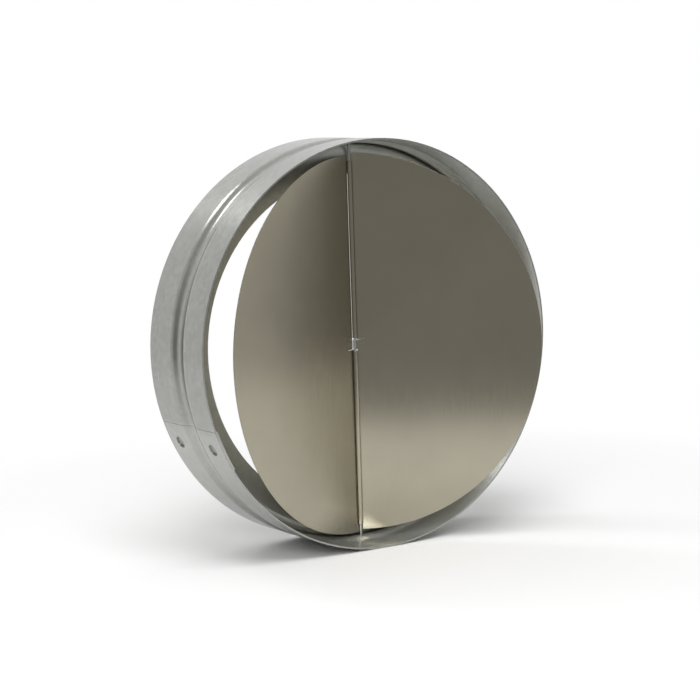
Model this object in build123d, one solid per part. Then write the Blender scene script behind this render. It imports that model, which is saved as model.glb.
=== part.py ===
from build123d import *
import math
import os

# Two-blade back-draft damper for a round duct, in millimetres.
# The duct axis is Y with the outlet side at -Y, Z runs up the hinge rod,
# and the origin is the middle of the collar.

# Collar: a strip of galvanised sheet rolled into a ring, with a bead pressed inwards
collar_diameter = 200.0
collar_length = 50.0
collar_sheet = 0.8
bead_width = 12.0
bead_flat = 4.0
bead_depth = 1.6
bead_bend = 6.0
# The bead and the hinge rod stand this far from the collar's middle along the duct
hinge_place = -1.5

# Lap seam: the strip's inner end lies under its outer end, held by two press joints
seam_angle = 204.7
lap_width = 21.0
lap_edge_gap = 0.25
lap_edge_depth = 0.6
press_diameter = 5.8
press_depth = 0.7
press_spacing = 31.2
press_button_height = 0.5
press_button_wall = 0.4
press_round = 0.25

# Hinge rod, peened over in the bead at both ends
rod_diameter = 1.5
rod_hole_clearance = 0.05
rod_head_diameter = 2.6
rod_head_height = 0.7
rod_head_round = 0.4

# Blades: two equal half ovals of thin aluminium, each rolled round one half of the rod
blade_side_clearance = 5.6
blade_end_clearance = 1.7
blade_sheet = 0.4
knuckle_clearance = 0.05
knuckle_start = 2.0
knuckle_setback = 4.0
knuckle_roll = 285.0
blade_edge_clearance = 0.05
left_open = 19.5
right_open = 40.0
left_drop = 2.2
right_drop = 1.0

# Seat ring behind the bead, where the blades close
seat_overlap = 9.5
seat_sheet = 0.8
seat_clearance = 0.4
seat_flange = 7.0
seat_fit = 0.05
seat_bead_clearance = 0.2
seat_notch_clearance = 0.3

# Torsion spring on the rod between the two knuckles, one leg on each blade
spring_wire = 0.4
spring_rod_clearance = 0.1
spring_turns = 8
spring_coil_gap = 0.15
spring_leg = 5.0
spring_leg_clearance = 0.1

collar_radius = collar_diameter / 2
bore_radius = collar_radius - collar_sheet
crest_radius = bore_radius - bead_depth
groove_radius = collar_radius - bead_depth
lap_angle = math.degrees(lap_width / collar_radius)
rod_radius = rod_diameter / 2
# The blades pass the bead's crest at the sides, and at the rod's ends with the play for the drop
blade_reach = crest_radius - blade_side_clearance
blade_half_height = crest_radius - left_drop - blade_end_clearance
knuckle_end = blade_half_height - knuckle_setback
knuckle_bore = rod_radius + knuckle_clearance
knuckle_radius = knuckle_bore + blade_sheet
coil_radius = rod_radius + spring_rod_clearance + spring_wire / 2
coil_pitch = spring_wire + spring_coil_gap
# Half the cut between the blades' straight edges, which pass the other's knuckle and the coil
hinge_girth = max(knuckle_radius, coil_radius + spring_wire / 2)
blade_edge = math.sqrt((hinge_girth + blade_edge_clearance) ** 2 - knuckle_bore**2)
# A cut passes this far beyond the surface that it opens
cut_over = 1.0


def bead_line(drop):
    """The collar's outer line, moved inwards by a drop, in the plane of radius X and duct axis Y."""
    high = collar_radius - drop
    low = high - bead_depth
    corners = [
        (high, -collar_length / 2),
        (high, hinge_place - bead_width / 2),
        (low, hinge_place - bead_flat / 2),
        (low, hinge_place + bead_flat / 2),
        (high, hinge_place + bead_width / 2),
        (high, collar_length / 2),
    ]
    return FilletPolyline(*corners, radius=bead_bend)


def wall_arc(outer_drop, inner_drop, degrees, middle_angle=0.0):
    """A layer of the wall between two drops, turned about the duct axis and centred on an angle."""
    outer = bead_line(outer_drop)
    inner = bead_line(inner_drop)
    ends = [Line(outer @ end, inner @ end) for end in (0, 1)]
    section = make_face([*outer.edges(), *inner.edges(), *ends])
    return Rot(0, -middle_angle - degrees / 2, 0) * revolve(section, Axis.Y, degrees)


def press_joint(side):
    """The recess outside and the button inside one press joint, at the angle of +X."""
    place = Pos(0, side * press_spacing / 2, 0) * Rot(0, 90, 0)
    recess_radius = press_diameter / 2
    recess_height = press_depth + cut_over
    recess = Cylinder(recess_radius, recess_height)
    recess = fillet(recess.edges().filter_by(GeomType.CIRCLE).sort_by(Axis.Z)[0], press_round)
    recess = Pos(collar_radius - press_depth + recess_height / 2, 0, 0) * place * recess
    button_radius = recess_radius + press_button_wall
    button_height = press_button_height + collar_sheet
    button = Cylinder(button_radius, button_height)
    button = fillet(button.edges().filter_by(GeomType.CIRCLE).sort_by(Axis.Z)[0], press_round)
    lap_inside = bore_radius - collar_sheet
    button = Pos(lap_inside - press_button_height + button_height / 2, 0, 0) * place * button
    turn = Rot(0, -seam_angle, 0)
    return turn * recess, turn * button


def make_collar():
    """The rolled ring with its bead, lap seam, press joints and two rod holes."""
    edge_angle = math.degrees(lap_edge_gap / collar_radius)
    collar = wall_arc(0, collar_sheet, 360)
    collar += wall_arc(collar_sheet, 2 * collar_sheet, lap_angle, seam_angle)
    collar -= wall_arc(-cut_over, lap_edge_depth, edge_angle, seam_angle - lap_angle / 2)
    for side in (-1, 1):
        recess, button = press_joint(side)
        collar = collar + button - recess
    hole_length = 2 * (collar_radius + cut_over)
    return collar - Pos(0, hinge_place, 0) * Cylinder(rod_radius + rod_hole_clearance, hole_length)


def make_seat_ring():
    """An angle ring: a flat web for the blades to close on, and a flange along the collar's wall."""
    flank_run = (bead_width - bead_flat) / 2
    flank = math.hypot(flank_run, bead_depth)
    out_share = flank_run / flank
    front_share = bead_depth / flank
    front = knuckle_radius + seat_clearance
    rim = bore_radius - seat_fit
    # The bend is as large as it must be to pass the bead's rear flank
    to_corner = (rim - crest_radius) * out_share - (front - bead_flat / 2) * front_share
    bend = (to_corner + seat_bead_clearance) / (out_share + front_share - 1)
    rear = front + bend + seat_flange
    inner = blade_reach - seat_overlap
    face_line = FilletPolyline((inner, front), (rim, front), (rim, rear), radius=bend)
    back = front + seat_sheet
    back_rim = rim - seat_sheet
    back_bend = bend - seat_sheet
    back_line = FilletPolyline((inner, back), (back_rim, back), (back_rim, rear), radius=back_bend)
    ends = [Line(face_line @ end, back_line @ end) for end in (0, 1)]
    section = make_face([*face_line.edges(), *back_line.edges(), *ends])
    ring = Pos(0, hinge_place, 0) * revolve(section, Axis.Y, 360)
    # The flange is notched where it would meet the lap seam
    notch_angle = lap_angle + 2 * math.degrees(seat_notch_clearance / collar_radius)
    return ring - wall_arc(0, 2 * collar_sheet + seat_notch_clearance, notch_angle, seam_angle)


def make_hinge_rod():
    """The straight rod, with a low rounded head in the bead at each end."""
    rod = Cylinder(rod_radius, 2 * groove_radius)
    head = Cylinder(rod_head_diameter / 2, rod_head_height)
    head = fillet(head.edges().filter_by(GeomType.CIRCLE).sort_by(Axis.Z)[-1], rod_head_round)
    head = Pos(0, 0, groove_radius + rod_head_height / 2) * head
    return Pos(0, hinge_place, 0) * (rod + head + Rot(180, 0, 0) * head)


def make_flat_blade():
    """The left blade, shut flat: a half oval sheet behind the rod, rolled round the rod's lower half."""
    half_oval = Ellipse(blade_reach, blade_half_height)
    half_oval &= Pos(-blade_edge - blade_reach, 0) * Rectangle(2 * blade_reach, 2 * blade_half_height)
    knuckle_length = knuckle_end - knuckle_start
    knuckle_middle = -(knuckle_start + knuckle_end) / 2
    root = Pos(-blade_edge / 2, knuckle_middle) * Rectangle(blade_edge, knuckle_length)
    sheet = extrude(Plane.XZ.offset(-knuckle_radius) * (half_oval + root), blade_sheet)
    mouth_angles = (90, 90 + (360 - knuckle_roll) / 2, 90 + 360 - knuckle_roll)
    reach = 2 * knuckle_radius
    mouth_corners = [Vector(reach, 0).rotate(Axis.Z, angle) for angle in mouth_angles]
    roll = Circle(knuckle_radius) - Circle(knuckle_bore)
    roll -= make_face(Polyline((0, 0), *mouth_corners, close=True))
    knuckle = Pos(0, 0, knuckle_middle - knuckle_length / 2) * extrude(roll, knuckle_length)
    return sheet + knuckle


def make_left_blade():
    """The left blade, swung towards the outlet and slipped down its rod by its play."""
    return Pos(0, hinge_place, -left_drop) * Rot(0, 0, left_open) * make_flat_blade()


def make_right_blade():
    """The same blade turned half round the duct axis, so that its knuckle takes the rod's upper half."""
    return Pos(0, hinge_place, -right_drop) * Rot(0, 0, -right_open) * Rot(0, 180, 0) * make_flat_blade()


def leg_swing():
    """The angle between a spring leg and the blade that its tip rests on."""
    tip_offset = knuckle_bore - spring_wire / 2 - spring_leg_clearance
    return math.degrees(
        math.atan2(coil_radius, spring_leg) + math.asin(tip_offset / math.hypot(spring_leg, coil_radius))
    )


def wire_along(path):
    """Round wire along a path."""
    return sweep(Plane(path @ 0, z_dir=path % 0) * Circle(spring_wire / 2), path, is_frenet=True)


def make_torsion_spring():
    """A close coil round the rod in the gap between the knuckles, with a leg in front of each blade."""
    left_leg = 180 + left_open - leg_swing()
    right_leg = -right_open + leg_swing()
    first = left_leg + 90
    winding = spring_turns - 1 + ((right_leg - 90 - first) % 360) / 360
    height = winding * coil_pitch
    coil = Helix(coil_pitch, height, coil_radius)
    coil_start = -(left_drop + right_drop + height) / 2
    helix = Pos(0, hinge_place, coil_start) * Rot(0, 0, first) * coil
    spring = wire_along(helix)
    spring += wire_along(Line(helix @ 0, helix @ 0 - helix % 0 * spring_leg))
    spring += wire_along(Line(helix @ 1, helix @ 1 + helix % 1 * spring_leg))
    return spring


pieces = {
    "collar": make_collar,
    "seat_ring": make_seat_ring,
    "hinge_rod": make_hinge_rod,
    "left_blade": make_left_blade,
    "right_blade": make_right_blade,
    "torsion_spring": make_torsion_spring,
}

os.makedirs("parts", exist_ok=True)
for name, make in pieces.items():
    export_step(make(), f"parts/{name}.step")
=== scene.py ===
import math

import bmesh
import bpy
from mathutils import Matrix, Vector


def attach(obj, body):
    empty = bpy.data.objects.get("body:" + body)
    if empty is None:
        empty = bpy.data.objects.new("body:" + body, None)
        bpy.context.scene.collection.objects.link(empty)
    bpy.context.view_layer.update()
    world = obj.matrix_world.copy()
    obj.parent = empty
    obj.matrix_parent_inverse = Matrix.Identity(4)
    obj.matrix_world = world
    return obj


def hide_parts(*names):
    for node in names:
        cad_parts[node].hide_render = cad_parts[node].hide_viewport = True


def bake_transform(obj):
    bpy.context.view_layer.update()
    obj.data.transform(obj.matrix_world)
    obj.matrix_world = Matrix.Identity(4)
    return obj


# A two-blade back-draft damper for a round duct: galvanised collar and seat ring,
# two satin aluminium blades on a drawn rod, and the small spring between them.

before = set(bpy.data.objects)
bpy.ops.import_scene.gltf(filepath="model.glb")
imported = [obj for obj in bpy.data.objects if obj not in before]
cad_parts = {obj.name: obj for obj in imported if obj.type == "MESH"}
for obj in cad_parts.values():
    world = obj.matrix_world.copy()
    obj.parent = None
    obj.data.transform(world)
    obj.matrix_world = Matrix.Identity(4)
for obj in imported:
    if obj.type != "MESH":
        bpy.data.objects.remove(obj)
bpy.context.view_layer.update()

MM = 0.001

# Sizes shared with the solids
HINGE_PLACE = -1.5 * MM
SEAM_ANGLE = math.radians(204.7)
PRESS_PLACE = 15.6 * MM
PRESS_RADIUS = 2.9 * MM
COLLAR_HALF_LENGTH = 25.0 * MM
BEAD_HALF_FLAT = 2.0 * MM
BEAD_HALF_WIDTH = 6.0 * MM
LAP_HALF_WIDTH = 10.5 * MM
LAP_EDGE_GAP = 0.25 * MM
KNUCKLE_BORE = 0.8 * MM
KNUCKLE_MIDDLE = 1.0 * MM
KNUCKLE_START = 2.0 * MM
KNUCKLE_END = 89.7 * MM
KNUCKLE_ROLL = math.radians(285.0)
BLADE_REACH = 92.0 * MM
BLADE_HALF_HEIGHT = 93.7 * MM
BLADE_SHEET = 0.4 * MM
BLADE_EDGE = 1.0247 * MM
LEFT_OPEN = math.radians(19.5)
RIGHT_OPEN = math.radians(40.0)
LEFT_DROP = 2.2 * MM
RIGHT_DROP = 1.0 * MM
SPRING_WIRE_RADIUS = 0.2 * MM
SPRING_COIL_RADIUS = 1.05 * MM
SPRING_PITCH = 0.55 * MM
SPRING_TURNS = 8
SPRING_LEG = 5.0 * MM
SPRING_LEG_CLEARANCE = 0.1 * MM
FLOOR_HEIGHT = -100.0 * MM

# Fineness of the pieces modelled here
RAY_CUTS = 35
FAN_STEPS = 120
ROLL_STEPS = 36
WELD = 0.001 * MM
CUT_REACH = 0.0001 * MM
ROOT_REACH = 0.01 * MM
SHORTEST_EDGE = 0.06 * MM
EDGE_SOFTENING = 0.08 * MM
EDGE_SEGMENTS = 2
SHARP_ANGLE = math.radians(50)
WIRE_SIDES = 12
WIRE_STEPS = 84

# How the thin blades bow out of flat, by shares of their reach and height
BOW = 0.18 * MM
RIPPLE = 0.07 * MM
FLAT_AT_HINGE = 0.03
EASE_FROM_HINGE = 0.3
RIPPLE_ACROSS = 5.2
RIPPLE_ACROSS_START = 1.3
RIPPLE_ALONG = 3.4
RIPPLE_ALONG_START = 0.7

# Places of the painted light and shade on the collar, whose wall is split at a radius into inside and
# outside
WALL_SPLIT = 99.25 * MM
BEAD_SPLIT_DROP = 1.25 * MM
RIM_BAND = 0.1 * MM
# Painted shade in the bead's groove, strongest about this height
GROOVE_SHADE_HEIGHT = 5.0 * MM
GROOVE_SHADE_FULL = 5.0 * MM
GROOVE_SHADE_END = 40.0 * MM
# Painted light on the groove's front slope, lower down the collar
SLOPE_LIGHT_FULL = -35.0 * MM
SLOPE_LIGHT_END = -10.0 * MM

# Patterns in the metals, in repeats per metre, and their relief
CRYSTALS = 420.0
CRYSTAL_SWAY = 160.0
CRYSTAL_SWAY_REACH = 6.0 * MM
ZINC_CLOUDS = 28.0
ZINC_SPECKS = 900.0
ZINC_BUMP = 0.05
ZINC_RELIEF = 0.2 * MM
ZINC_METALLIC = 0.8
GRAIN_LINES = 3200.0
SHEET_CLOUDS = 16.0
SCUFF_LINES = 420.0
SCUFF_POLISH = -0.08
SCUFF_DEPTH = -0.5
GRAIN_RELIEF = 0.1 * MM
GRAIN_MAP = "grain"

# The photograph's view
VIEW_YAW = math.radians(33.458)
VIEW_TILT = math.radians(6.984)
VIEW_ROLL = math.radians(-1.839)
CAMERA_PLACE = (-0.5696, -0.8620, 0.1266)
CAMERA_LENS = 108.2
CAMERA_SENSOR = 36.0
CAMERA_SHIFT_X = -0.0047
CAMERA_SHIFT_Y = -0.0133
CAMERA_NEAR = 0.01

# Studio, along the view from the object
PAPER_TONE = (0.86, 0.86, 0.86, 1)
PAPER_ROUGHNESS = 0.9
PAPER_SPECULAR = 0.1
PAPER_BEND_STEPS = 24
PAPER_FRONT = -0.37
PAPER_BACK = 0.55
PAPER_BEND = 0.3
PAPER_WALL = 0.9
PAPER_HALF_WIDTH = 0.6
PAPER_WHITE_FROM = 0.16
PAPER_WHITE_TO = 0.36
ROOM_FRONT = -0.4
ROOM_BACK = 0.45
ROOM_DIM = 0.3
ROOM_LIGHT = 0.92


# Node helpers

def new_material(name):
    """A material, its node tree and its Principled shader."""
    material = bpy.data.materials.new(name)
    material.use_nodes = True
    tree = material.node_tree
    return material, tree, tree.nodes["Principled BSDF"]


def add_node(tree, kind, inputs=None, **settings):
    """A node with its settings, its input values and its links from other nodes' sockets."""
    node = tree.nodes.new(kind)
    for key, value in settings.items():
        setattr(node, key, value)
    for key, value in (inputs or {}).items():
        if isinstance(value, bpy.types.NodeSocket):
            tree.links.new(value, node.inputs[key])
        else:
            node.inputs[key].default_value = value
    return node


def new_group(name, inputs, outputs):
    """An empty shader node group with named sockets, given as (name, socket type, default)."""
    tree = bpy.data.node_groups.new(name, "ShaderNodeTree")
    for label, kind, default in inputs:
        socket = tree.interface.new_socket(label, in_out="INPUT", socket_type=kind)
        if default is not None:
            socket.default_value = default
    for label, kind in outputs:
        tree.interface.new_socket(label, in_out="OUTPUT", socket_type=kind)
    return tree, tree.nodes.new("NodeGroupInput"), tree.nodes.new("NodeGroupOutput")


def math_node(tree, operation, a, b=0.0):
    """The result of one sum on two values or sockets."""
    return add_node(tree, "ShaderNodeMath", {0: a, 1: b}, operation=operation).outputs[0]


def product(tree, first, *others):
    """Values multiplied together."""
    for other in others:
        first = math_node(tree, "MULTIPLY", first, other)
    return first


def weighted_sum(tree, *parts):
    """The sum of parts, each a socket and its weight."""
    total = 0.0
    for socket, weight in parts:
        total = math_node(tree, "ADD", math_node(tree, "MULTIPLY", socket, weight), total)
    return total


def vector_node(tree, operation, inputs):
    """The vector that one sum on vectors gives."""
    return add_node(tree, "ShaderNodeVectorMath", inputs, operation=operation).outputs["Vector"]


def distance(tree, a, b):
    """How far a point is from the middle, by its places along two axes."""
    pair = add_node(tree, "ShaderNodeCombineXYZ", {"X": a, "Y": b})
    length = add_node(tree, "ShaderNodeVectorMath", {0: pair.outputs["Vector"]}, operation="LENGTH")
    return length.outputs["Value"]


def noise(tree, vector, scale, detail, roughness=0.5):
    """A noise texture of so many repeats per metre."""
    inputs = {"Vector": vector, "Scale": scale, "Detail": detail, "Roughness": roughness}
    return add_node(tree, "ShaderNodeTexNoise", inputs)


def map_range(tree, value, low, high, to_low=0.0, to_high=1.0):
    """A value moved from one range to another, held at its ends."""
    node = add_node(
        tree,
        "ShaderNodeMapRange",
        {"Value": value, "From Min": low, "From Max": high, "To Min": to_low, "To Max": to_high},
    )
    return node.outputs["Result"]


def mix_colour(tree, factor, a, b, blend="MIX"):
    """Two colours mixed by a factor."""
    node = add_node(tree, "ShaderNodeMix", data_type="RGBA", blend_type=blend)
    for index, value in ((0, factor), (6, a), (7, b)):
        if isinstance(value, bpy.types.NodeSocket):
            tree.links.new(value, node.inputs[index])
        else:
            node.inputs[index].default_value = value
    return node.outputs[2]


def add_bump(tree, shader, height, strength, relief):
    """Fine relief in a shader's surface."""
    bump = add_node(tree, "ShaderNodeBump", {"Height": height, "Strength": strength, "Distance": relief})
    tree.links.new(bump.outputs["Normal"], shader.inputs["Normal"])


# Effects that the metals share

def make_spangle_group():
    """Zinc crystals: flat patches of slightly different tone and polish, with soft clouds over them."""
    tree, start, end = new_group(
        "zinc spangle",
        [("Vector", "NodeSocketVector", None), ("Crystals", "NodeSocketFloat", CRYSTALS)],
        [("Tone", "NodeSocketFloat"), ("Polish", "NodeSocketFloat"), ("Height", "NodeSocketFloat")],
    )
    vector = start.outputs["Vector"]
    sway = noise(tree, vector, CRYSTAL_SWAY, 2.0)
    shift = vector_node(tree, "SUBTRACT", {0: sway.outputs["Color"], 1: (0.5, 0.5, 0.5)})
    shift = vector_node(tree, "SCALE", {0: shift, "Scale": CRYSTAL_SWAY_REACH})
    bent = vector_node(tree, "ADD", {0: vector, 1: shift})
    crystals = {"Vector": bent, "Scale": start.outputs["Crystals"], "Randomness": 1.0}
    cells = add_node(tree, "ShaderNodeTexVoronoi", crystals)
    patch = add_node(tree, "ShaderNodeSeparateColor", {"Color": cells.outputs["Color"]})
    cloud = noise(tree, vector, ZINC_CLOUDS, 3.0, 0.6).outputs["Fac"]
    specks = noise(tree, vector, ZINC_SPECKS, 2.0).outputs["Fac"]
    tone = weighted_sum(tree, (patch.outputs["Red"], 0.45), (cloud, 0.45), (specks, 0.1))
    polish = weighted_sum(tree, (patch.outputs["Green"], 0.6), (cloud, 0.4))
    height = weighted_sum(tree, (patch.outputs["Blue"], 0.3), (specks, 0.7))
    tree.links.new(tone, end.inputs["Tone"])
    tree.links.new(polish, end.inputs["Polish"])
    tree.links.new(height, end.inputs["Height"])
    return tree


def make_rolling_group():
    """Rolled sheet: long fine grain one way, soft clouds, and a few hairline scuffs."""
    tree, start, end = new_group(
        "rolling grain",
        [("Vector", "NodeSocketVector", None), ("Stretch", "NodeSocketVector", (1.0, 1.0, 1.0))],
        [("Grain", "NodeSocketFloat"), ("Cloud", "NodeSocketFloat"), ("Scuffs", "NodeSocketFloat")],
    )
    vector = start.outputs["Vector"]
    drawn = vector_node(tree, "MULTIPLY", {0: vector, 1: start.outputs["Stretch"]})
    grain = noise(tree, drawn, GRAIN_LINES, 2.0).outputs["Fac"]
    cloud = noise(tree, vector, SHEET_CLOUDS, 4.0, 0.55).outputs["Fac"]
    lines = noise(tree, drawn, SCUFF_LINES, 1.0).outputs["Fac"]
    scuffs = product(tree, map_range(tree, lines, 0.66, 0.74), map_range(tree, cloud, 0.5, 0.62))
    tree.links.new(grain, end.inputs["Grain"])
    tree.links.new(cloud, end.inputs["Cloud"])
    tree.links.new(scuffs, end.inputs["Scuffs"])
    return tree


spangle_group = make_spangle_group()
rolling_group = make_rolling_group()


def make_galvanised(name, dark, light, polish, dull):
    """Galvanised sheet between two tones and two roughnesses."""
    material, tree, shader = new_material(name)
    place = add_node(tree, "ShaderNodeTexCoord")
    zinc = add_node(tree, "ShaderNodeGroup", node_tree=spangle_group)
    tree.links.new(place.outputs["Object"], zinc.inputs["Vector"])
    colour = mix_colour(tree, map_range(tree, zinc.outputs["Tone"], 0.2, 0.8), dark, light)
    tree.links.new(colour, shader.inputs["Base Color"])
    rough = map_range(tree, zinc.outputs["Polish"], 0.1, 0.9, polish, dull)
    tree.links.new(rough, shader.inputs["Roughness"])
    add_bump(tree, shader, zinc.outputs["Height"], ZINC_BUMP, ZINC_RELIEF)
    shader.inputs["Metallic"].default_value = ZINC_METALLIC
    return material


def tint_where(material, where, tone, blend):
    """Changes a material's colour by a tone where a mask says so."""
    tree = material.node_tree
    base = tree.nodes["Principled BSDF"].inputs["Base Color"]
    plain = base.links[0].from_socket
    tree.links.new(mix_colour(tree, where, plain, tone, blend), base)


def tint_lap(material, light, painted_slit_light, dull):
    """A lighter stretch of zinc from the lap's edge on, painted light in the slit at that edge, and painted
    shade in the floors of its two press joints.
    """
    tree = material.node_tree
    place = add_node(tree, "ShaderNodeTexCoord")
    turn = {"Vector": place.outputs["Object"], "Rotation": (0.0, SEAM_ANGLE, 0.0)}
    turned = add_node(tree, "ShaderNodeMapping", turn)
    split = add_node(tree, "ShaderNodeSeparateXYZ", {"Vector": turned.outputs["Vector"]})
    along = split.outputs["Y"]
    around = split.outputs["Z"]
    at_seam = math_node(tree, "GREATER_THAN", split.outputs["X"], 0.0)

    below_edge = map_range(tree, around, -1.3 * LAP_HALF_WIDTH, -0.5 * LAP_HALF_WIDTH)
    fade = map_range(tree, around, 0.0, 4 * LAP_HALF_WIDTH, 1.0, 0.0)
    tint_where(material, product(tree, below_edge, fade, at_seam), light, "ADD")

    # Painted light in the narrow slit along the lap's edge
    from_edge = math_node(tree, "ABSOLUTE", math_node(tree, "ADD", around, LAP_HALF_WIDTH))
    in_gap = math_node(tree, "LESS_THAN", from_edge, 0.6 * LAP_EDGE_GAP)
    tint_where(material, product(tree, in_gap, at_seam), painted_slit_light, "ADD")

    # Painted shade in the floors of the two press joints: the dull tone darkens each floor, most towards
    # its front side
    centre = product(tree, math_node(tree, "SIGN", along), PRESS_PLACE)
    aside = math_node(tree, "SUBTRACT", along, centre)
    away = distance(tree, aside, around)
    floor = map_range(tree, away, 1.06 * PRESS_RADIUS, 1.18 * PRESS_RADIUS, 1.0, 0.0)
    shade = map_range(tree, aside, -PRESS_RADIUS, PRESS_RADIUS, 1.0, 0.2)
    tint_where(material, product(tree, floor, shade, at_seam), dull, "MULTIPLY")


def tint_wall(material, painted_inside_light, groove_shade, painted_slope_light):
    """Painted light on the collar's inside. Outside, painted shade in the bead's groove at half height and
    painted light on the groove's front slope lower down."""
    tree = material.node_tree
    place = add_node(tree, "ShaderNodeTexCoord")
    split = add_node(tree, "ShaderNodeSeparateXYZ", {"Vector": place.outputs["Object"]})
    radius = distance(tree, split.outputs["X"], split.outputs["Z"])
    along = math_node(tree, "SUBTRACT", split.outputs["Y"], HINGE_PLACE)
    aside = math_node(tree, "ABSOLUTE", along)
    drop = map_range(tree, aside, BEAD_HALF_FLAT, BEAD_HALF_WIDTH, BEAD_SPLIT_DROP, 0.0)
    outside = math_node(tree, "GREATER_THAN", math_node(tree, "ADD", radius, drop), WALL_SPLIT)

    # Painted light: the collar's inside is made lighter, all but a thin band at the rims
    from_middle = math_node(tree, "ABSOLUTE", split.outputs["Y"])
    from_rim = math_node(tree, "SUBTRACT", COLLAR_HALF_LENGTH, from_middle)
    behind_rim = math_node(tree, "GREATER_THAN", from_rim, RIM_BAND)
    inside = math_node(tree, "SUBTRACT", 1.0, outside)
    tint_where(material, product(tree, inside, behind_rim), painted_inside_light, "ADD")

    # Painted shade in the groove's floor and rear slope, fading away from half height
    front = map_range(tree, along, -0.85 * BEAD_HALF_WIDTH, -0.7 * BEAD_HALF_WIDTH)
    floor = map_range(tree, along, -0.75 * BEAD_HALF_FLAT, 0.25 * BEAD_HALF_FLAT, 1.0, 0.0)
    slope = map_range(tree, along, BEAD_HALF_FLAT, 0.5 * BEAD_HALF_WIDTH, 0.0, 0.6)
    rear = map_range(tree, along, 0.7 * BEAD_HALF_WIDTH, 0.9 * BEAD_HALF_WIDTH, 1.0, 0.0)
    groove = math_node(tree, "ADD", product(tree, front, floor), product(tree, slope, rear))
    height = math_node(tree, "SUBTRACT", split.outputs["Z"], GROOVE_SHADE_HEIGHT)
    level = map_range(tree, math_node(tree, "ABSOLUTE", height), GROOVE_SHADE_FULL, GROOVE_SHADE_END, 1.0, 0.0)
    tint_where(material, product(tree, groove, level, outside), groove_shade, "MULTIPLY")

    # Painted light on the groove's front slope, growing towards the bottom
    from_slope = math_node(tree, "ABSOLUTE", math_node(tree, "ADD", along, 0.72 * BEAD_HALF_WIDTH))
    front_slope = map_range(tree, from_slope, 0.15 * BEAD_HALF_WIDTH, 0.25 * BEAD_HALF_WIDTH, 1.0, 0.0)
    low = map_range(tree, split.outputs["Z"], SLOPE_LIGHT_END, SLOPE_LIGHT_FULL)
    tint_where(material, product(tree, front_slope, low, outside), painted_slope_light, "ADD")


def make_rolled(name, dark, light, polish, dull, stretch, grain):
    """Bright rolled or drawn metal with its grain along one way, of a strength."""
    material, tree, shader = new_material(name)
    place = add_node(tree, "ShaderNodeTexCoord")
    roll = add_node(tree, "ShaderNodeGroup", node_tree=rolling_group)
    tree.links.new(place.outputs["Object"], roll.inputs["Vector"])
    roll.inputs["Stretch"].default_value = stretch
    scuffs = roll.outputs["Scuffs"]
    colour = mix_colour(tree, map_range(tree, roll.outputs["Cloud"], 0.35, 0.65), dark, light)
    tree.links.new(colour, shader.inputs["Base Color"])
    rough = map_range(tree, roll.outputs["Grain"], 0.3, 0.7, polish, dull)
    rough = weighted_sum(tree, (rough, 1.0), (scuffs, SCUFF_POLISH))
    tree.links.new(rough, shader.inputs["Roughness"])
    height = weighted_sum(tree, (roll.outputs["Grain"], 1.0), (scuffs, SCUFF_DEPTH))
    add_bump(tree, shader, height, grain, GRAIN_RELIEF)
    shader.inputs["Metallic"].default_value = 1.0
    return material


def brush(material, amount):
    """Spreads a metal's gloss across its grain, which runs up the piece's own UV map."""
    tree = material.node_tree
    shader = tree.nodes["Principled BSDF"]
    across = add_node(tree, "ShaderNodeTangent", direction_type="UV_MAP", uv_map=GRAIN_MAP)
    tree.links.new(across.outputs["Tangent"], shader.inputs["Tangent"])
    shader.inputs["Anisotropic"].default_value = amount


collar_zinc = make_galvanised(
    "galvanised_collar",
    dark=(0.31, 0.315, 0.295, 1),
    light=(0.365, 0.37, 0.347, 1),
    polish=0.2,
    dull=0.27,
)
# The collar's tints: painted light inside, painted shade in the bead's groove, painted light on its lower
# front slope
tint_wall(
    collar_zinc,
    painted_inside_light=(0.17, 0.17, 0.16, 1),
    groove_shade=(0.35, 0.33, 0.3, 1),
    painted_slope_light=(0.22, 0.22, 0.21, 1),
)
# The lap's tints: a lighter stretch, painted light in the edge's slit, painted shade in the press joints
tint_lap(
    collar_zinc,
    light=(0.06, 0.06, 0.058, 1),
    painted_slit_light=(0.3, 0.3, 0.29, 1),
    dull=(0.42, 0.42, 0.4, 1),
)
# The seat ring's zinc is a lighter copy of the collar's: painted light, as the ring sits in shade behind
# the blades
seat_zinc_painted_light = make_galvanised(
    "galvanised_seat",
    dark=(0.5, 0.51, 0.485, 1),
    light=(0.57, 0.58, 0.55, 1),
    polish=0.28,
    dull=0.34,
)
blade_metal = make_rolled(
    "satin_aluminium",
    dark=(0.39, 0.362, 0.285, 1),
    light=(0.442, 0.41, 0.322, 1),
    polish=0.2,
    dull=0.25,
    stretch=(1.0, 1.0, 0.03),
    grain=0.08,
)
brush(blade_metal, amount=0.9)
rod_metal = make_rolled(
    "drawn_rod",
    dark=(0.4, 0.4, 0.38, 1),
    light=(0.5, 0.5, 0.48, 1),
    polish=0.24,
    dull=0.38,
    stretch=(1.0, 1.0, 0.04),
    grain=0.1,
)
cut_edge = make_rolled(
    "cut_edge",
    dark=(0.35, 0.333, 0.29, 1),
    light=(0.42, 0.4, 0.35, 1),
    polish=0.26,
    dull=0.4,
    stretch=(1.0, 1.0, 1.0),
    grain=0.1,
)
spring_metal = make_rolled(
    "spring_wire",
    dark=(0.24, 0.24, 0.224, 1),
    light=(0.32, 0.32, 0.3, 1),
    polish=0.25,
    dull=0.35,
    stretch=(1.0, 1.0, 1.0),
    grain=0.1,
)


def paint(node, material):
    """Gives a solid carried over from the frame its finish."""
    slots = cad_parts[node].data.materials
    for index in range(len(slots)):
        slots[index] = material


paint("collar", collar_zinc)
paint("seat_ring", seat_zinc_painted_light)
paint("hinge_rod", rod_metal)


# Pieces modelled here

def verts_of(result):
    """The vertices among an operator's new geometry."""
    return [item for item in result if isinstance(item, bmesh.types.BMVert)]


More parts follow.
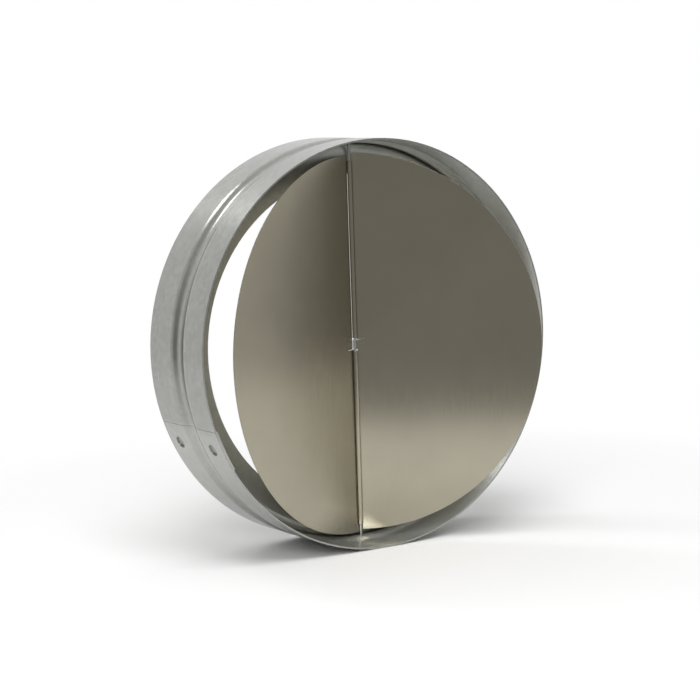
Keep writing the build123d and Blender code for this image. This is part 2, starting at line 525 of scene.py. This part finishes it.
def add_piece(name, shape, materials):
    """A finished bmesh as a smooth object at the origin."""
    mesh = bpy.data.meshes.new(name)
    shape.to_mesh(mesh)
    shape.free()
    for face in mesh.polygons:
        face.use_smooth = True
    for material in materials:
        mesh.materials.append(material)
    piece = bpy.data.objects.new(name, mesh)
    bpy.context.scene.collection.objects.link(piece)
    return piece


def make_flat_blade():
    """The left blade's middle layer, shut flat: a half oval behind the rod, rolled round its lower half."""
    shape = bmesh.new()
    low = shape.verts.new((0.0, KNUCKLE_MIDDLE, 0.0))
    high = shape.verts.new((0.0, KNUCKLE_MIDDLE, -BLADE_REACH))
    ray = shape.edges.new((low, high))
    bmesh.ops.subdivide_edges(shape, edges=[ray], cuts=RAY_CUTS)
    bmesh.ops.spin(
        shape,
        geom=shape.verts[:] + shape.edges[:],
        cent=(0.0, 0.0, 0.0),
        axis=(0.0, 1.0, 0.0),
        angle=math.pi,
        steps=FAN_STEPS,
    )
    bmesh.ops.remove_doubles(shape, verts=shape.verts[:], dist=WELD)
    if sum(v.co.x for v in shape.verts) > 0:
        bmesh.ops.scale(shape, vec=(-1.0, 1.0, 1.0), verts=shape.verts[:])
    bmesh.ops.scale(shape, vec=(1.0, 1.0, BLADE_HALF_HEIGHT / BLADE_REACH), verts=shape.verts[:])
    for place, normal in (
        ((-BLADE_EDGE, 0.0, 0.0), (1.0, 0.0, 0.0)),
        ((0.0, 0.0, -KNUCKLE_START), (0.0, 0.0, 1.0)),
        ((0.0, 0.0, -KNUCKLE_END), (0.0, 0.0, 1.0)),
    ):
        geometry = shape.verts[:] + shape.edges[:] + shape.faces[:]
        bmesh.ops.bisect_plane(shape, geom=geometry, dist=CUT_REACH, plane_co=place, plane_no=normal)
    cut_away = []
    for face in shape.faces:
        middle = face.calc_center_median()
        beside_knuckle = -KNUCKLE_END < middle.z < -KNUCKLE_START
        if middle.x > -BLADE_EDGE and not beside_knuckle:
            cut_away.append(face)
    bmesh.ops.delete(shape, geom=cut_away, context="FACES")
    bmesh.ops.dissolve_degenerate(shape, dist=SHORTEST_EDGE, edges=shape.edges[:])
    for vert in shape.verts:
        across = -vert.co.x / BLADE_REACH
        along = vert.co.z / BLADE_HALF_HEIGHT
        vert.co.y += blade_wave(across, along)
    rims = [e for e in shape.edges if e.is_boundary]
    root = [e for e in rims if all(abs(v.co.x) < ROOT_REACH for v in e.verts)]
    bmesh.ops.spin(
        shape,
        geom=list(dict.fromkeys(v for e in root for v in e.verts)) + root,
        cent=(0.0, 0.0, 0.0),
        axis=(0.0, 0.0, 1.0),
        angle=-KNUCKLE_ROLL,
        steps=ROLL_STEPS,
    )
    bmesh.ops.remove_doubles(shape, verts=shape.verts[:], dist=WELD)
    bmesh.ops.recalc_face_normals(shape, faces=shape.faces[:])
    grain = shape.loops.layers.uv.new(GRAIN_MAP)
    for face in shape.faces:
        for loop in face.loops:
            place = loop.vert.co
            loop[grain].uv = (place.x + place.y, place.z)
    return shape


def blade_wave(across, along):
    """How far the thin sheet bows out of flat, from the hinge at 0 to the rim at 1."""
    start = min(1.0, max(0.0, (across - FLAT_AT_HINGE) / EASE_FROM_HINGE))
    bow = math.sin(math.pi * across) * math.cos(0.5 * math.pi * along)
    ripple_across = math.sin(RIPPLE_ACROSS * across + RIPPLE_ACROSS_START)
    ripple_along = math.cos(RIPPLE_ALONG * along + RIPPLE_ALONG_START)
    ripple = ripple_across * ripple_along
    return start * (BOW * bow + RIPPLE * ripple)


def make_blade(name, place):
    """One blade as sheet of its thickness, at its place on the rod."""
    shape = make_flat_blade()
    bmesh.ops.transform(shape, matrix=place, verts=shape.verts[:])
    blade = add_piece(name, shape, [blade_metal, cut_edge])
    sheet = blade.modifiers.new("sheet", "SOLIDIFY")
    sheet.thickness = BLADE_SHEET
    sheet.offset = 0.0
    sheet.material_offset_rim = 1
    corner = blade.modifiers.new("edge", "BEVEL")
    corner.width = EDGE_SOFTENING
    corner.segments = EDGE_SEGMENTS
    corner.limit_method = "ANGLE"
    corner.angle_limit = SHARP_ANGLE
    corner.harden_normals = True
    return blade


left_place = Matrix.Translation((0.0, HINGE_PLACE, -LEFT_DROP)) @ Matrix.Rotation(LEFT_OPEN, 4, "Z")
half_round = Matrix.Rotation(-RIGHT_OPEN, 4, "Z") @ Matrix.Rotation(math.pi, 4, "Y")
right_place = Matrix.Translation((0.0, HINGE_PLACE, -RIGHT_DROP)) @ half_round
left_blade = make_blade("blade_left", left_place)
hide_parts("left_blade")
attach(left_blade, "left_blade")
right_blade = make_blade("blade_right", right_place)
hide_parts("right_blade")
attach(right_blade, "right_blade")


def spring_leg_swing():
    """The angle between a spring leg and the blade that its tip rests on."""
    tip = KNUCKLE_BORE - SPRING_WIRE_RADIUS - SPRING_LEG_CLEARANCE
    reach = math.hypot(SPRING_LEG, SPRING_COIL_RADIUS)
    return math.atan2(SPRING_COIL_RADIUS, SPRING_LEG) + math.asin(tip / reach)


FULL_TURN = 2 * math.pi
left_leg_angle = math.pi + LEFT_OPEN - spring_leg_swing()
right_leg_angle = -RIGHT_OPEN + spring_leg_swing()
coil_first = left_leg_angle + math.pi / 2
coil_winding = (SPRING_TURNS - 1) * FULL_TURN + (right_leg_angle - math.pi / 2 - coil_first) % FULL_TURN
coil_height = coil_winding / FULL_TURN * SPRING_PITCH
coil_middle = -(LEFT_DROP + RIGHT_DROP) / 2


def make_spring_half(name, side):
    """One leg and half the coil, from the coil's end to its middle. Side is -1 below and 1 above."""
    angle = coil_first if side < 0 else coil_first + coil_winding
    rise = SPRING_PITCH / FULL_TURN
    across = SPRING_COIL_RADIUS * math.cos(angle)
    deep = SPRING_COIL_RADIUS * math.sin(angle)
    tangent = Vector((-deep, across, rise)).normalized()
    end = Vector((across, HINGE_PLACE + deep, coil_middle + side * coil_height / 2))
    shape = bmesh.new()
    wire = bmesh.ops.create_circle(shape, segments=WIRE_SIDES, radius=SPRING_WIRE_RADIUS, cap_ends=False)
    ring = wire["verts"]
    turn = Vector((0.0, 0.0, 1.0)).rotation_difference(tangent).to_matrix().to_4x4()
    bmesh.ops.transform(shape, matrix=Matrix.Translation(end) @ turn, verts=ring)
    ring_edges = shape.edges[:]
    bmesh.ops.spin(
        shape,
        geom=ring + ring_edges,
        cent=(0.0, HINGE_PLACE, 0.0),
        axis=(0.0, 0.0, 1.0),
        dvec=(0.0, 0.0, -side * coil_height / 2 / WIRE_STEPS),
        angle=-side * coil_winding / 2,
        steps=WIRE_STEPS,
    )
    leg = bmesh.ops.extrude_edge_only(shape, edges=ring_edges)["geom"]
    bmesh.ops.translate(shape, vec=side * SPRING_LEG * tangent, verts=verts_of(leg))
    bmesh.ops.holes_fill(shape, edges=[e for e in shape.edges if e.is_boundary], sides=0)
    bmesh.ops.recalc_face_normals(shape, faces=shape.faces[:])
    half = add_piece(name, shape, [spring_metal])
    return half


lower_spring = make_spring_half("spring_lower_half", -1)
upper_spring = make_spring_half("spring_upper_half", 1)
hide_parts("torsion_spring")
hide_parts("torsion_spring")
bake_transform(lower_spring)
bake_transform(upper_spring)


# Studio: a pale sheet that sweeps up behind the object, a soft grey room in front of it

def view_axes():
    """The camera's forward, right and up directions."""
    level = Vector((math.sin(VIEW_YAW), math.cos(VIEW_YAW), 0.0))
    forward = math.cos(VIEW_TILT) * level - Vector((0.0, 0.0, math.sin(VIEW_TILT)))
    right = Vector((math.cos(VIEW_YAW), -math.sin(VIEW_YAW), 0.0))
    up = right.cross(forward)
    turned_right = math.cos(VIEW_ROLL) * right + math.sin(VIEW_ROLL) * up
    turned_up = -math.sin(VIEW_ROLL) * right + math.cos(VIEW_ROLL) * up
    return forward, turned_right, turned_up


def add_camera():
    """The camera at the photograph's angle."""
    forward, right, up = view_axes()
    data = bpy.data.cameras.new("camera")
    data.lens = CAMERA_LENS
    data.sensor_width = CAMERA_SENSOR
    data.shift_x = CAMERA_SHIFT_X
    data.shift_y = CAMERA_SHIFT_Y
    data.clip_start = CAMERA_NEAR
    camera = bpy.data.objects.new("camera", data)
    turn = Matrix((right, up, -forward)).transposed().to_4x4()
    camera.matrix_world = Matrix.Translation(CAMERA_PLACE) @ turn
    bpy.context.scene.collection.objects.link(camera)
    bpy.context.scene.camera = camera


def make_paper():
    """Pale paper that takes the object's shadow, and is plain white where it is far from the object."""
    material, tree, shader = new_material("pale_paper")
    shader.inputs["Base Color"].default_value = PAPER_TONE
    shader.inputs["Roughness"].default_value = PAPER_ROUGHNESS
    shader.inputs["Specular IOR Level"].default_value = PAPER_SPECULAR
    place = add_node(tree, "ShaderNodeTexCoord")
    away = add_node(tree, "ShaderNodeVectorMath", {0: place.outputs["Object"]}, operation="LENGTH")
    far = map_range(tree, away.outputs["Value"], PAPER_WHITE_FROM, PAPER_WHITE_TO)
    path = add_node(tree, "ShaderNodeLightPath")
    seen = math_node(tree, "MAXIMUM", path.outputs["Is Camera Ray"], path.outputs["Is Glossy Ray"])
    seen = math_node(tree, "MAXIMUM", seen, path.outputs["Is Transmission Ray"])
    plain = add_node(tree, "ShaderNodeEmission", {"Color": (1, 1, 1, 1), "Strength": 1.0})
    mix = add_node(tree, "ShaderNodeMixShader", {0: math_node(tree, "MULTIPLY", far, seen)})
    tree.links.new(shader.outputs["BSDF"], mix.inputs[1])
    tree.links.new(plain.outputs["Emission"], mix.inputs[2])
    tree.links.new(mix.outputs["Shader"], tree.nodes["Material Output"].inputs["Surface"])
    return material


def add_sweep():
    """A paper sweep: a floor under the object that curves up behind it, square to the view."""
    forward = view_axes()[0]
    yaw = math.atan2(forward.x, forward.y)
    shape = bmesh.new()
    front = shape.verts.new((-PAPER_HALF_WIDTH, PAPER_FRONT, FLOOR_HEIGHT))
    back = shape.verts.new((-PAPER_HALF_WIDTH, PAPER_BACK, FLOOR_HEIGHT))
    shape.edges.new((front, back))
    bend = bmesh.ops.spin(
        shape,
        geom=[back],
        cent=(0.0, PAPER_BACK, FLOOR_HEIGHT + PAPER_BEND),
        axis=(1.0, 0.0, 0.0),
        angle=math.radians(90),
        steps=PAPER_BEND_STEPS,
    )
    wall = bmesh.ops.extrude_vert_indiv(shape, verts=verts_of(bend["geom_last"]))
    bmesh.ops.translate(shape, vec=(0.0, 0.0, PAPER_WALL), verts=wall["verts"])
    strip = bmesh.ops.extrude_edge_only(shape, edges=shape.edges[:])
    bmesh.ops.translate(shape, vec=(2 * PAPER_HALF_WIDTH, 0.0, 0.0), verts=verts_of(strip["geom"]))
    bmesh.ops.rotate(shape, cent=(0, 0, 0), matrix=Matrix.Rotation(-yaw, 3, "Z"), verts=shape.verts[:])
    bmesh.ops.recalc_face_normals(shape, faces=shape.faces[:])
    add_piece("paper_sweep", shape, [make_paper()])


def add_lamp(name, place, target, size, watts):
    """A soft square lamp that faces a point."""
    data = bpy.data.lights.new(name, "AREA")
    data.shape = "SQUARE"
    data.size = size
    data.energy = watts
    lamp = bpy.data.objects.new(name, data)
    lamp.location = place
    lamp.rotation_euler = (Vector(target) - Vector(place)).to_track_quat("-Z", "Y").to_euler()
    bpy.context.scene.collection.objects.link(lamp)


def add_room():
    """A room that is dim in front of the object and light behind it."""
    world = bpy.data.worlds.new("room")
    world.use_nodes = True
    bpy.context.scene.world = world
    tree = world.node_tree
    forward = view_axes()[0]
    place = add_node(tree, "ShaderNodeTexCoord")
    directions = {0: place.outputs["Generated"], 1: forward}
    ahead = add_node(tree, "ShaderNodeVectorMath", directions, operation="DOT_PRODUCT")
    level = map_range(tree, ahead.outputs["Value"], ROOM_FRONT, ROOM_BACK, ROOM_DIM, ROOM_LIGHT)
    tree.links.new(level, tree.nodes["Background"].inputs["Strength"])
    tree.nodes["Background"].inputs["Color"].default_value = (1, 1, 1, 1)


add_camera()
add_sweep()
add_room()
add_lamp("lamp_high", place=(-0.3, -0.6, 1.2), target=(0.0, 0.0, -0.05), size=0.8, watts=12.0)
add_lamp("lamp_low", place=(-0.85, -1.0, 0.62), target=(0.0, 0.0, 0.0), size=0.5, watts=6.0)
add_lamp("lamp_bead", place=(-0.31, 0.8, 0.84), target=(0.0, 0.0, 0.0), size=0.3, watts=1.6)

bpy.context.scene.view_settings.view_transform = "Standard"
